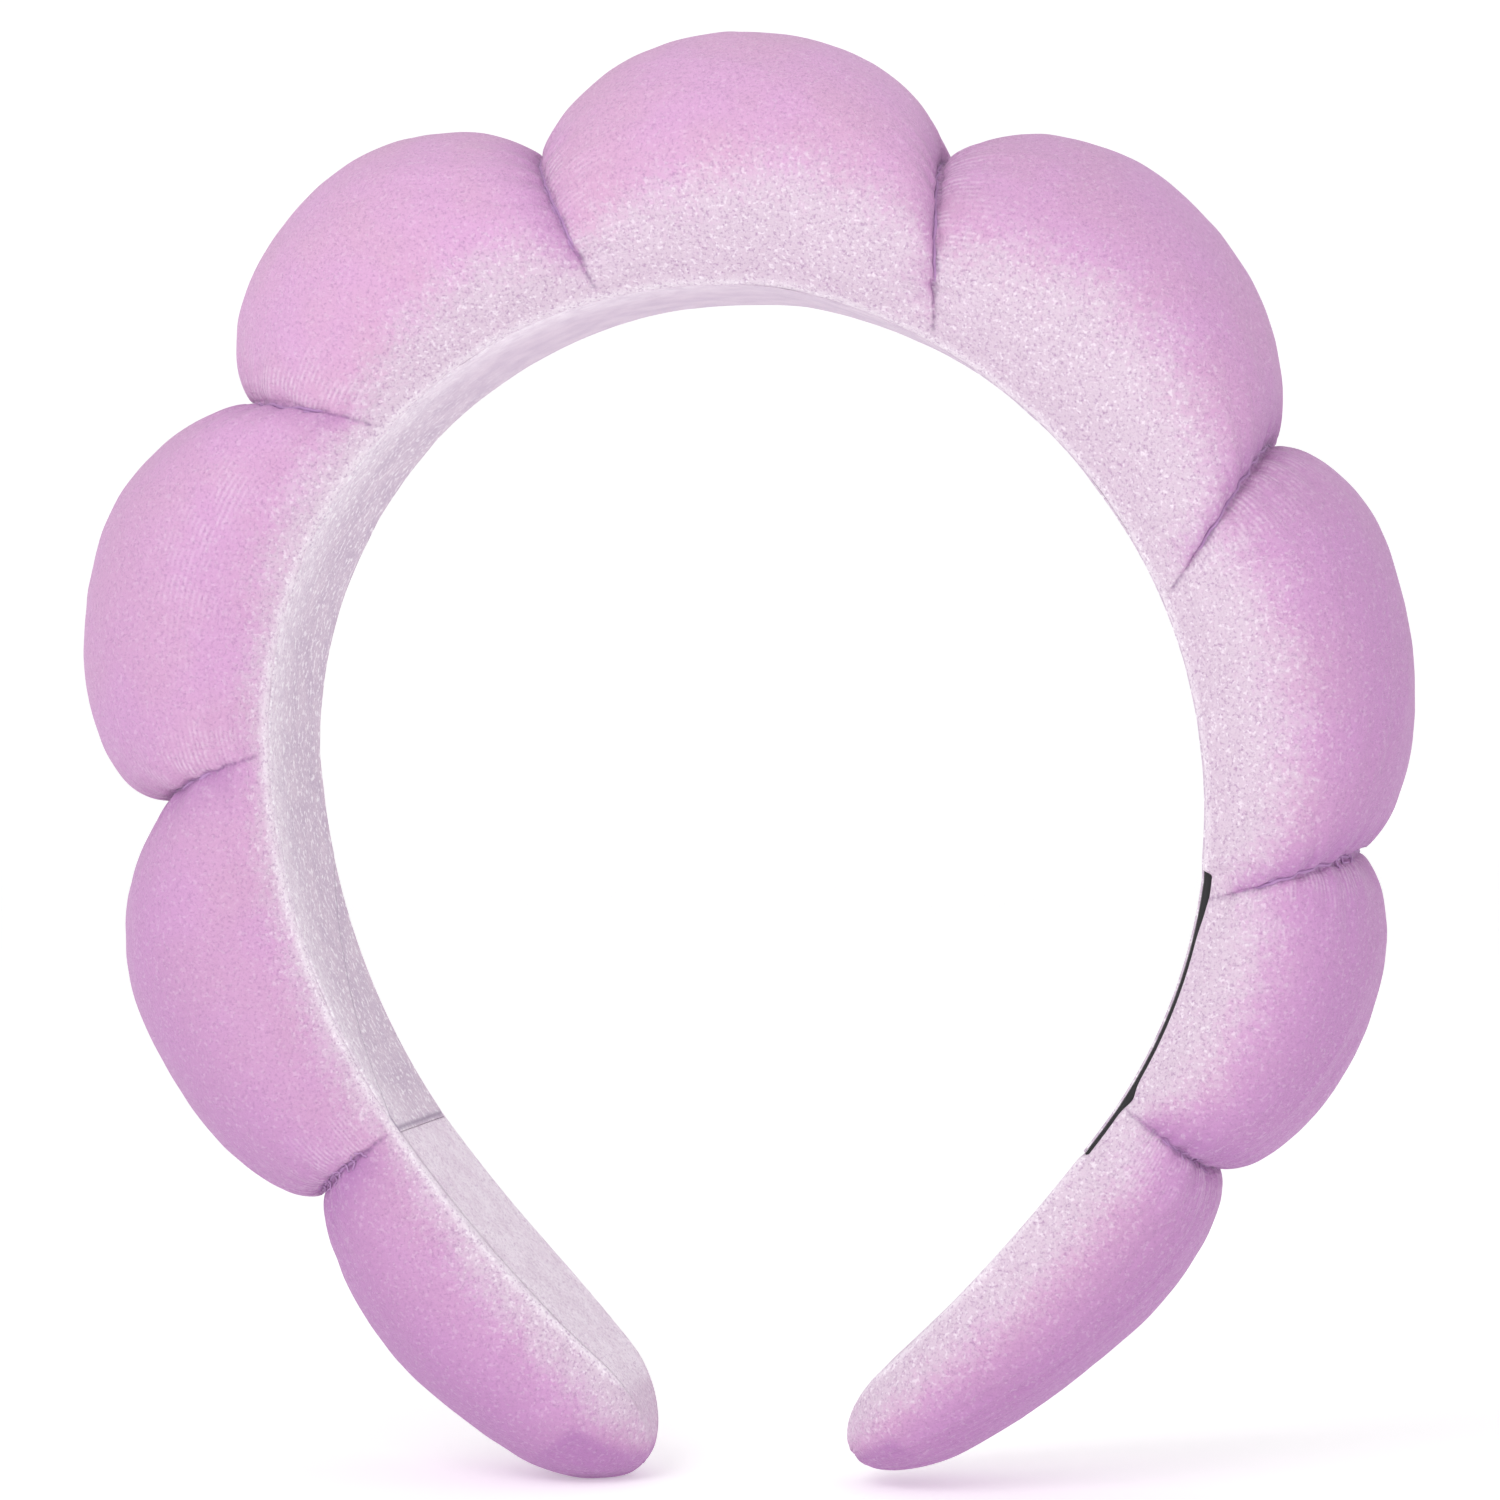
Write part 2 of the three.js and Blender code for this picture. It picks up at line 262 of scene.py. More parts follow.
def lip_height(along):
    """How low the velvet comes down beside the band: it wraps the band's edge, but for a bare
    stretch on the right arm."""
    bare = smooth(117.5, 119, along) * (1 - smooth(BAND_END["right"] - 1, BAND_END["right"] + 0.3, along))
    shown = mix(1.7, 1.12, smooth(121, 128, along)) + 0.5 * np.exp(-(((along - 150.5) / 1.6) ** 2))
    return mix(0.3, shown, bare)


def floor_height(along):
    """The bottom of the channel that the band lies in, which closes past the band's ends."""
    left = smooth(-BAND_END["left"] - 0.7, -BAND_END["left"] - 0.15, along)
    right = 1 - smooth(BAND_END["right"] + 0.15, BAND_END["right"] + 0.7, along)
    return mix(lip_height(along) + 0.02, BAND_HIGH + 0.1, left * right)


CREASE = 0.3  # how much deeper than the lobes' own ends a tie pulls the cloth
SHOULDER = 0.42  # share of the height where the side turns into the back
BRIDGE = 4.5  # the velvet spans the tie by this much more than the tie is deep
CHANNEL = BAND_WIDTH / 2 + 0.4
RIDGE_POWER = 1.9
RIDGE_PASSES = 4
BACK_POWER = 0.94
ROUND = 122  # roughly the distance round the roll's outside
FAR = 99.0  # further than any crease reaches


def shell_curve(section, lip):
    """The outside of a section from one edge of the channel to the other, evenly stepped."""
    shoulder = mix(lip, section.height, SHOULDER)
    half = section.depth / 2
    edge = min(section.face / 2, half - 0.5)
    channel = min(CHANNEL, edge - 0.6)
    u = np.linspace(0, 1, SIDE_STEPS)
    side_across = edge + (half - edge) * (1 - (1 - u) ** RIDGE_POWER)
    side_up = mix(lip, shoulder, u)
    turn = np.linspace(0, math.pi / 2, BACK_STEPS)[1:]
    back_across = half * np.cos(turn) ** BACK_POWER
    back_up = shoulder + (section.height - shoulder) * np.sin(turn)
    across = np.concatenate([[channel], side_across, back_across[:-1]])
    up = np.concatenate([[lip], side_up, back_up[:-1]])
    across = np.concatenate([across, [0], -across[::-1]])
    up = np.concatenate([up, [section.height], up[::-1]])
    length = np.concatenate([[0], np.cumsum(np.hypot(np.diff(across), np.diff(up)))])
    even = np.linspace(0, length[-1], SHELL_STEPS + 1)
    across, up = np.interp(even, length, across), np.interp(even, length, up)
    for _ in range(RIDGE_PASSES):  # rounds the ridge over
        across[1:-1] = (across[:-2] + 2 * across[1:-1] + across[2:]) / 4
        up[1:-1] = (up[:-2] + 2 * up[1:-1] + up[2:]) / 4
    return across, up, even, length[-1]


class Roll:
    """The whole velvet surface as one grid: a row for each section, a column for each point round
    it. Column 0 is the middle of the channel's floor."""

    def __init__(self):
        sections, cuts, owners = [], [], []
        lefts, rights = signed_ties("left"), signed_ties("right")
        sections += tip_sections("left")[::-1]
        for i in (2, 1, 0):
            lobe = LOBES["left"][i]
            turned = (lobe[0], lobe[1], 1 - lobe[2], lobe[4], lobe[3])
            new = lobe_sections(lefts[i + 1], lefts[i], turned)
            cuts.append(len(sections) - 1 + len(new) // 2)
            sections += new[1:]
        new = lobe_sections(lefts[0], rights[0], CROWN_LOBE)
        cuts.append(len(sections) - 1 + len(new) // 2)
        sections += new[1:]
        for i in range(3):
            new = lobe_sections(rights[i], rights[i + 1], LOBES["right"][i])
            cuts.append(len(sections) - 1 + len(new) // 2)
            sections += new[1:]
        sections += tip_sections("right")[1:]
        self.sections, self.cuts = sections, cuts
        self.fill()

    def fill(self):
        rows = []
        for section in self.sections:
            lip, floor = lip_height(section.along), floor_height(section.along)
            across, up, even, around = shell_curve(section, float(lip))
            channel = across[0]
            floor_across = np.linspace(0, channel, FLOOR_STEPS + 1)
            wall = np.linspace(float(floor), float(lip), WALL_STEPS + 1)[1:-1]
            a = np.concatenate([floor_across, np.full(len(wall), channel), across])
            u = np.concatenate([np.full(FLOOR_STEPS + 1, float(floor)), wall, up])
            back = np.full(len(wall), -channel)
            a = np.concatenate([a, back, -floor_across[::-1][:-1]])
            u = np.concatenate([u, wall[::-1], np.full(FLOOR_STEPS, float(floor))])
            middle = (float(lip) + section.height) / 2
            rows.append((section.along, section.lean, middle, section.shrink, a, u, even, around))
        self.along = np.array([r[0] for r in rows])[:, None]
        self.lean = np.array([r[1] for r in rows])[:, None]
        middle = np.array([r[2] for r in rows])[:, None]
        shrink = np.array([r[3] for r in rows])[:, None]
        self.across = np.array([r[4] for r in rows]) * shrink
        self.up = middle + (np.array([r[5] for r in rows]) - middle) * shrink
        self.first = FLOOR_STEPS + WALL_STEPS
        self.last = self.first + SHELL_STEPS
        self.height = np.array([s.height for s in self.sections])[:, None]
        share = np.zeros(self.across.shape[1])
        share[self.first:self.last + 1] = np.linspace(0, 1, SHELL_STEPS + 1)
        share[self.last + 1:] = 1
        self.share = np.broadcast_to(share, self.across.shape)
        self.relieve()

    def normals(self, points):
        """Unit normals facing out, by the grid's own steps."""
        du = np.gradient(points, axis=0)
        dv = np.roll(points, -1, axis=1) - np.roll(points, 1, axis=1)
        normal = np.cross(dv, du)
        return normal / np.maximum(1e-9, np.linalg.norm(normal, axis=2, keepdims=True))

    def relieve(self):
        """The creases, the gathers beside them and soft lumps. It also keeps how far each point is
        from the ties before and after it."""
        base = place(self.along + self.up * self.lean, self.up, self.across)
        normal = self.normals(base)
        steps = np.linalg.norm(np.diff(base, axis=0), axis=2)
        run = np.concatenate([np.zeros((1, base.shape[1])), np.cumsum(steps, axis=0)])
        round_mm = self.share * ROUND
        outer = smooth(1.2, 6, self.up)  # nothing pinches the inner side
        on_shell = (self.share > 0) & (self.share < 1)
        move = np.zeros(self.across.shape)
        self.before, self.after = np.full(self.across.shape, FAR), np.full(self.across.shape, FAR)
        tie_rows = [i for i, s in enumerate(self.sections) if s.gap == 0]
        wobble = np.zeros(self.across.shape)
        for seed, row in enumerate(tie_rows):
            distance = run - run[row]
            gap = np.abs(distance)
            before = distance < 0
            self.before = np.minimum(self.before, np.where(distance <= 0.01, gap, FAR))
            self.after = np.minimum(self.after, np.where(distance >= -0.01, gap, FAR))
            pinch = CREASE * np.exp(-((gap / 0.7) ** 1.4)) + 0.2 * np.exp(-gap / 3.0)
            move -= pinch * outer
            for half, side_seed in ((before, 1), (~before, 2)):
                s = 40 * seed + side_seed
                phase = round_mm / 2.5 + 0.5 * waves(s, round_mm, 13)
                folds = np.sin(2 * math.pi * phase)
                strength = 0.55 + 0.45 * waves(s + 3, round_mm, 17)
                reach = 4.2 + 1.9 * waves(s + 5, round_mm, 9)
                fade = np.exp(-(gap / np.maximum(1.5, reach)) ** 1.3) * smooth(0, 0.9, gap)
                move += np.where(half, 0.11 * folds * strength * fade, 0) * outer
                wide = np.sin(2 * math.pi * (round_mm / 6.5 + 0.4 * waves(s + 7, round_mm, 30)))
                move += np.where(half, 0.2 * wide * np.exp(-(gap / 8.5) ** 1.5), 0) * outer
            wobble += 0.12 * waves(90 + seed, round_mm, 7) * np.exp(-((gap / 2.5) ** 2)) * outer
        move += 0.12 * lumps(7, run, round_mm, 19) * outer
        move += 0.05 * lumps(8, run, round_mm, 6) * outer
        move = np.where(on_shell, move, 0)
        tangent = np.gradient(base, axis=0)
        tangent /= np.maximum(1e-9, np.linalg.norm(tangent, axis=2, keepdims=True))
        self.base, self.run = base, run
        self.points = base + normal * move[..., None] + tangent * np.where(on_shell, wobble, 0)[..., None]


roll = Roll()

# ---------- Meshes ----------


def make_mesh(name, points, faces, attributes=None, sharp=None):
    """A shaded mesh object from points in mm."""
    mesh = bpy.data.meshes.new(name)
    mesh.from_pydata((np.asarray(points) * MM).tolist(), [], [list(map(int, f)) for f in faces])
    mesh.validate()
    for key, values in (attributes or {}).items():
        values = np.asarray(values, np.float32)
        if values.ndim == 2:
            layer = mesh.attributes.new(key, "FLOAT_VECTOR", "POINT")
            layer.data.foreach_set("vector", values.ravel())
        else:
            layer = mesh.attributes.new(key, "FLOAT", "POINT")
            layer.data.foreach_set("value", values)
    mesh.shade_smooth()
    if sharp is not None:
        ends = np.zeros(len(mesh.edges) * 2, np.int32)
        mesh.edges.foreach_get("vertices", ends)
        hard = sharp[ends.reshape(-1, 2)].all(axis=1)
        layer = mesh.attributes.new("sharp_edge", "BOOLEAN", "EDGE")
        layer.data.foreach_set("value", hard)
    obj = bpy.data.objects.new(name, mesh)
    bpy.context.scene.collection.objects.link(obj)
    return obj


def grid_faces(rows, columns, closed):
    """Quads of a grid of rows and columns of points, its columns joined up if closed."""
    i = np.arange(rows - 1)[:, None]
    j = np.arange(columns if closed else columns - 1)[None]
    k = (j + 1) % columns
    quads = np.stack([i * columns + j, i * columns + k, (i + 1) * columns + k, (i + 1) * columns + j], -1)
    return quads.reshape(-1, 4)


def tube(name, points, attributes=None):
    """A closed solid through a grid of loops, capped at both ends. Its caps have sharp rims."""
    rows, columns = points.shape[:2]
    flat = points.reshape(-1, 3)
    faces = grid_faces(rows, columns, True).tolist()
    first, last = len(flat), len(flat) + 1
    for j in range(columns):
        k = (j + 1) % columns
        faces.append([first, k, j])
        faces.append([last, (rows - 1) * columns + j, (rows - 1) * columns + k])
    hubs = np.stack([points[0].mean(axis=0), points[-1].mean(axis=0)])
    values = {}
    for key, grid in (attributes or {}).items():
        grid = np.asarray(grid)
        ends = np.stack([grid[0].mean(axis=0), grid[-1].mean(axis=0)])
        values[key] = np.concatenate([grid.reshape(len(flat), -1), ends.reshape(2, -1)])
        if grid.ndim == 2:
            values[key] = values[key][:, 0]
    rim = np.zeros(len(flat) + 2, bool)
    rim[:columns] = True
    rim[(rows - 1) * columns:rows * columns] = True
    return make_mesh(name, np.concatenate([flat, hubs]), faces, values, rim)


# ---------- The velvet as simulated cloth ----------

CLOTH_EVERY = (6, 4)  # rows and columns of the roll to one of the cloth
CLOTH_FRAMES = 20
CLOTH_PRESSURE = 25
CLOTH_SLACK = 0.009  # how much wider and longer the cloth is than the shape it lies on
WRINKLE_CAP = 0.35  # the furthest a wrinkle moves the velvet, in mm


def thinned(count, every, keep):
    """Every few indices up to count, with the ones to keep among them."""
    return np.unique(np.concatenate([np.arange(0, count, every), [count - 1], keep])).astype(int)


def blurred(grid, reaches):
    """The grid averaged over a window that reaches so many rows and columns."""
    for axis, reach in enumerate(reaches):
        total, weight = np.zeros_like(grid), 0.0
        for step in range(-reach, reach + 1):
            share = 1 - abs(step) / (reach + 1)
            index = np.clip(np.arange(grid.shape[axis]) + step, 0, grid.shape[axis] - 1)
            total += share * np.take(grid, index, axis=axis)
            weight += share
        grid = total / weight
    return grid


def wrinkles():
    """How far the velvet wrinkles in and out as cloth over its filling, held at the ties and on the
    inner side. The overall swelling is left out: the lobes already have their full shape."""
    ties = [k for k, section in enumerate(roll.sections) if section.gap == 0]
    rows = thinned(len(roll.sections), CLOTH_EVERY[0], ties)
    columns = thinned(roll.points.shape[1], CLOTH_EVERY[1], [roll.first, roll.last])
    start = roll.points[np.ix_(rows, columns)]
    held = roll.up[np.ix_(rows, columns)] < 1.5
    held |= (columns < roll.first) | (columns > roll.last)
    held[np.isin(rows, ties)] = True
    held[[0, -1]] = True
    cloth = tube("cloth", start)
    pins = np.flatnonzero(held.ravel()).tolist() + [held.size, held.size + 1]
    cloth.vertex_groups.new(name="held").add(pins, 1.0, "REPLACE")
    settings = cloth.modifiers.new("Cloth", "CLOTH").settings
    settings.quality = 5
    settings.mass = 0.15
    settings.tension_stiffness = 12
    settings.compression_stiffness = 12
    settings.shear_stiffness = 4
    settings.bending_stiffness = 0.2
    settings.use_pressure = True
    settings.uniform_pressure_force = CLOTH_PRESSURE
    settings.shrink_min = -CLOTH_SLACK
    settings.vertex_group_mass = "held"
    settings.effector_weights.gravity = 0
    scene = bpy.context.scene
    for number in range(1, CLOTH_FRAMES + 1):
        scene.frame_set(number)
    solved = cloth.evaluated_get(bpy.context.evaluated_depsgraph_get()).data
    end = np.zeros(len(solved.vertices) * 3)
    solved.vertices.foreach_get("co", end)
    end = end.reshape(-1, 3)[:held.size].reshape(start.shape) / MM
    scene.frame_set(1)
    bpy.data.objects.remove(cloth)
    moved = ((end - start) * roll.normals(start)).sum(axis=2)
    moved = moved - blurred(moved, (5, 4))
    moved = WRINKLE_CAP * np.tanh(moved / WRINKLE_CAP) * ~held
    every_row = np.arange(len(roll.sections))
    every_column = np.arange(roll.points.shape[1])
    moved = np.stack([np.interp(every_column, columns, line) for line in moved])
    moved = np.stack([np.interp(every_row, rows, line) for line in moved.T], axis=1)
    return blurred(moved, (3, 2))


roll.points += roll.normals(roll.points) * wrinkles()[..., None]

# ---------- The bodies, planes and rows at each tie ---


def bodies_at(side, i):
    """The bodies above and below a tie."""
    above = "crown" if i == 0 else f"{side}_{i}"
    below = f"{side}_tip" if i == 3 else f"{side}_{i + 1}"
    return above, below


def tie_plane(side, i):
    """The middle of a tie and the direction down the arm square to it."""
    at, lean, height, _ = signed_ties(side)[i]
    low, high = place(at, 0, 0), place(at + lean * height, height, 0)
    line = (high - low) / np.linalg.norm(high - low)
    down = np.array([line[2], 0, -line[0]]) * SIDES[side]
    return (low + high) / 2, down


def cut_rows(side, i):
    """First and last rows of the stretch of roll across a tie, in order along the arch."""
    order = [("left", 3), ("left", 2), ("left", 1), ("left", 0)] + [("right", n) for n in range(4)]
    k = order.index((side, i))
    edges = [0, *roll.cuts, len(roll.sections) - 1]
    return edges[k], edges[k + 1]


def bend(piece):
    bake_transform(piece)


# ---------- Materials ----------


def srgb(code):
    """A linear colour from a six-digit sRGB code."""
    values = [int(code[k:k + 2], 16) / 255 for k in (0, 2, 4)]
    return (*[v / 12.92 if v <= 0.04045 else ((v + 0.055) / 1.055) ** 2.4 for v in values], 1)


class Nodes:
    """Short names for building a material's node tree."""

    def __init__(self, name):
        self.material = bpy.data.materials.new(name)
        self.material.use_nodes = True
        self.tree = self.material.node_tree
        self.shader = self.tree.nodes["Principled BSDF"]

    def add(self, kind, **values):
        node = self.tree.nodes.new("ShaderNode" + kind)
        for key, value in values.items():
            setattr(node, key, value)
        return node

    def wire(self, out, socket):
        if isinstance(out, (int, float, tuple)):
            socket.default_value = out
        else:
            self.tree.links.new(out, socket)

    def math(self, operation, a, b=0.0, c=None):
        node = self.add("Math", operation=operation)
        self.wire(a, node.inputs[0])
        self.wire(b, node.inputs[1])
        if c is not None:
            self.wire(c, node.inputs[2])
        return node.outputs[0]

    def ramp(self, value, low, high):
        node = self.add("MapRange", interpolation_type="SMOOTHSTEP")
        self.wire(value, node.inputs["Value"])
        node.inputs["From Min"].default_value = low
        node.inputs["From Max"].default_value = high
        return node.outputs["Result"]

    def blend(self, share, a, b):
        node = self.add("Mix", data_type="RGBA")
        self.wire(share, node.inputs[0])
        self.wire(a, node.inputs[6])
        self.wire(b, node.inputs[7])
        return node.outputs[2]

    def noise(self, vector, scale, detail=2.0, rough=0.5):
        node = self.add("TexNoise")
        self.wire(vector, node.inputs["Vector"])
        node.inputs["Scale"].default_value = scale
        node.inputs["Detail"].default_value = detail
        node.inputs["Roughness"].default_value = rough
        return node.outputs["Fac"]

    def attribute(self, name):
        return self.add("Attribute", attribute_name=name)

    def bump(self, height, distance, strength=1.0, under=None):
        node = self.add("Bump")
        node.inputs["Strength"].default_value = strength
        node.inputs["Distance"].default_value = distance
        self.wire(height, node.inputs["Height"])
        if under is not None:
            self.wire(under, node.inputs["Normal"])
        return node.outputs["Normal"]

    def finish(self, colour, normal, **sockets):
        self.wire(colour, self.shader.inputs["Base Color"])
        self.wire(normal, self.shader.inputs["Normal"])
        for key, value in sockets.items():
            self.shader.inputs[key.replace("_", " ")].default_value = value
        return self.material


# The cloth attribute holds a place on the cloth, with CLOTH_UNIT to the millimetre. The wales
# attribute turns once for each wale of the knit, WALE wide.
WALE = 1.05


def velvet_material():
    n = Nodes("velvet")
    cloth = n.attribute("cloth").outputs["Vector"]
    painted_sheen = n.attribute("painted_sheen").outputs["Fac"]
    deep_shade = n.attribute("deep_shade").outputs["Fac"]
    crease_shade = n.attribute("crease_shade").outputs["Fac"]
    rib = n.attribute("rib").outputs["Fac"]
    wales = n.attribute("wales").outputs["Fac"]
    inner = n.attribute("inner").outputs["Fac"]
    drift = n.noise(cloth, 9, 2)
    patch = n.noise(cloth, 26, 3)
    grain = n.noise(cloth, 230, 3, 0.65)
    fleck = n.noise(cloth, 120, 2, 0.6)
    sparkle = n.noise(cloth, 165, 1.5, 0.6)
    fine = n.noise(cloth, 420, 1)

    wale_at = n.math("MULTIPLY_ADD", patch, 5.0, wales)
    wale = n.math("MULTIPLY_ADD", n.math("SINE", wale_at), 0.5, 0.5)
    shows = n.math("MULTIPLY", rib, n.math("MULTIPLY", n.ramp(fleck, 0.3, 0.55), n.ramp(patch, 0.36, 0.6)))
    ribs = n.math("MULTIPLY", wale, shows)

    pink = n.blend(n.ramp(drift, 0.3, 0.7), srgb("dbaad4"), srgb("d9acce"))
    # Deeper purple toward each lobe's outer side and down the arms: painted shade, partly the nap's own
    # deeper colour.
    colour = n.blend(deep_shade, pink, srgb("b57fb6"))
    # Pale of the nap: painted sheen, broken up by flecks and patches.
    patchy_sheen = n.math("MULTIPLY_ADD", n.math("SUBTRACT", fleck, 0.5), 0.9, painted_sheen)
    patchy_sheen = n.math("MULTIPLY_ADD", n.math("SUBTRACT", patch, 0.5), 0.5, patchy_sheen)
    colour = n.blend(n.ramp(patchy_sheen, 0.05, 1.0), colour, srgb("dcc8d9"))
    # Near-white on the inner face: painted sheen.
    lit = n.math("MULTIPLY", inner, n.math("MULTIPLY_ADD", n.ramp(patch, 0.35, 0.65), 0.35, 0.55))
    colour = n.blend(lit, colour, srgb("f6edf5"))
    dark = n.math("MULTIPLY", n.ramp(grain, 0.52, 0.3), n.math("MULTIPLY_ADD", painted_sheen, 0.2, 0.4))
    colour = n.blend(dark, colour, srgb("a377a6"))
    # Painted glints of the pile, strongest in the painted sheen and on the inner face.
    glint_weight = n.math("MULTIPLY_ADD", inner, 0.35, n.math("MULTIPLY_ADD", painted_sheen, 0.44, 0.13))
    glint = n.math("MULTIPLY", n.ramp(sparkle, 0.55, 0.7), glint_weight)
    colour = n.blend(glint, colour, srgb("fdf3fc"))
    # Lighter on the knit's ribs and darker between them: painted highlight and painted shade; the bump gives
    # the ribs' real relief.
    colour = n.blend(n.math("MULTIPLY", ribs, 0.5), colour, srgb("f3e0f1"))
    shade = n.math("MULTIPLY", n.math("SUBTRACT", 1.0, wale), n.math("MULTIPLY", shows, 0.2))
    colour = n.blend(shade, colour, srgb("a377a6"))
    # Darker mauve along the creases, flecked: painted shade in the creases.
    flecked_crease_shade = n.math("MULTIPLY", crease_shade, n.math("MULTIPLY_ADD", n.ramp(fleck, 0.35, 0.6), 0.4, 0.15))
    colour = n.blend(flecked_crease_shade, colour, srgb("7f5a88"))

    normal = n.bump(ribs, 0.00015, 0.5)
    normal = n.bump(grain, 0.0004, 0.7, normal)
    normal = n.bump(fine, 0.0002, 0.5, normal)
    return n.finish(
        colour, normal, Roughness=0.78, Sheen_Weight=0.35, Sheen_Roughness=0.45,
        Sheen_Tint=srgb("f6e2f6"), Specular_IOR_Level=0.25,
    )


WEAVE = 0.6 * CLOTH_UNIT  # one thread of the lining and the gap beside it


def lining_material():
    n = Nodes("lining")
    cloth = n.attribute("cloth").outputs["Vector"]
    parts = n.add("SeparateXYZ")
    n.wire(cloth, parts.inputs[0])
    warp = n.math("SINE", n.math("MULTIPLY", parts.outputs["Y"], 2 * math.pi / WEAVE))
    weft = n.math("SINE", n.math("MULTIPLY", parts.outputs["X"], 2 * math.pi / WEAVE))
    weave = n.math("MULTIPLY_ADD", n.math("MULTIPLY", warp, weft), 0.5, 0.5)
    grain = n.noise(cloth, 230, 3, 0.65)
    sparkle = n.noise(cloth, 95, 2, 0.7)
    drift = n.noise(cloth, 20, 3)
    pile = n.attribute("pile").outputs["Fac"]
    rim = n.attribute("rim").outputs["Fac"]
    colour = n.blend(n.ramp(drift, 0.3, 0.7), srgb("dccbda"), srgb("ccb9cd"))
    patch = n.noise(cloth, 45, 3, 0.6)
    # Near-white toward the lining's front edge: painted sheen.
    lit = n.math("MULTIPLY", rim, n.math("MULTIPLY_ADD", n.ramp(patch, 0.35, 0.65), 0.5, 0.45))
    colour = n.blend(lit, colour, srgb("f4eaf3"))
    dark = n.math("MULTIPLY", n.ramp(grain, 0.55, 0.3), n.math("MULTIPLY_ADD", pile, 0.4, 0.1))
    colour = n.blend(dark, colour, srgb("a58cab"))
    glint = n.math("MULTIPLY", n.ramp(sparkle, 0.52, 0.64), n.math("MULTIPLY", pile, 0.8))
    colour = n.blend(glint, colour, srgb("fdf8fd"))
    # Darker along the lining's lapped edge and at its end: painted shade of the step there.
    lap_shade = n.attribute("lap_shade").outputs["Fac"]
    colour = n.blend(n.math("MULTIPLY", lap_shade, 0.7), colour, srgb("7d6888"))
    normal = n.bump(weave, 0.00008, 0.5)
    normal = n.bump(n.math("MULTIPLY", grain, n.math("MULTIPLY_ADD", pile, 0.8, 0.2)), 0.0004, 0.6, normal)
    return n.finish(
        colour, normal, Roughness=0.7, Sheen_Weight=0.3, Sheen_Roughness=0.4,
        Sheen_Tint=srgb("f2e6f4"), Specular_IOR_Level=0.3,
    )


def plastic_material():
    n = Nodes("black_plastic")
    where = n.add("TexCoord").outputs["Object"]
    grain = n.noise(where, 2600, 2)
    scuff = n.noise(where, 240, 3, 0.6)
    colour = n.blend(n.ramp(scuff, 0.45, 0.75), srgb("131116"), srgb("26232a"))
    rough = n.add("MapRange")
    n.wire(scuff, rough.inputs["Value"])
    rough.inputs["To Min"].default_value = 0.36
    rough.inputs["To Max"].default_value = 0.58
    n.wire(rough.outputs["Result"], n.shader.inputs["Roughness"])
    return n.finish(colour, n.bump(grain, 0.00005, 0.4))


def thread_material():
    n = Nodes("thread")
    cloth = n.attribute("cloth").outputs["Vector"]
    fibre = n.noise(cloth, 500, 3, 0.7)
    drift = n.noise(cloth, 30, 2)
    colour = n.blend(n.ramp(drift, 0.3, 0.7), srgb("b98fbf"), srgb("ab82b3"))
    colour = n.blend(n.math("MULTIPLY", n.ramp(fibre, 0.5, 0.75), 0.5), colour, srgb("cfa9d3"))
    return n.finish(
        colour, n.bump(fibre, 0.0001, 0.7), Roughness=0.7, Sheen_Weight=0.25, Specular_IOR_Level=0.3,
    )


VELVET, LINING, PLASTIC, THREAD = (
    velvet_material(), lining_material(), plastic_material(), thread_material(),
)


def dress(piece, material):
    piece.data.materials.append(material)


# ---------- The velvet ----------


# Down the arch: where the painted sheen of the pale nap starts and ends as shares of the height,
# and how deep the colour (painted shade, partly the nap's own) is low and high on each lobe.
SHEEN_AND_SHADE = [
    (-215, 0.00, 0.55, 0.35, 0.95),
    (-170, -0.1, 0.36, 0.35, 0.90),
    (-132, -0.1, 0.26, 0.25, 0.70),
    (-85, -0.1, 0.26, 0.16, 0.36),
    (-45, 0.02, 0.45, 0.02, 0.10),
    (0, 0.16, 0.66, 0.00, 0.10),
    (46, 0.28, 0.80, 0.00, 0.42),
    (86, 0.16, 0.76, 0.07, 0.72),
    (130, 0.08, 0.70, 0.12, 0.85),
    (215, 0.00, 0.64, 0.20, 0.98),
]


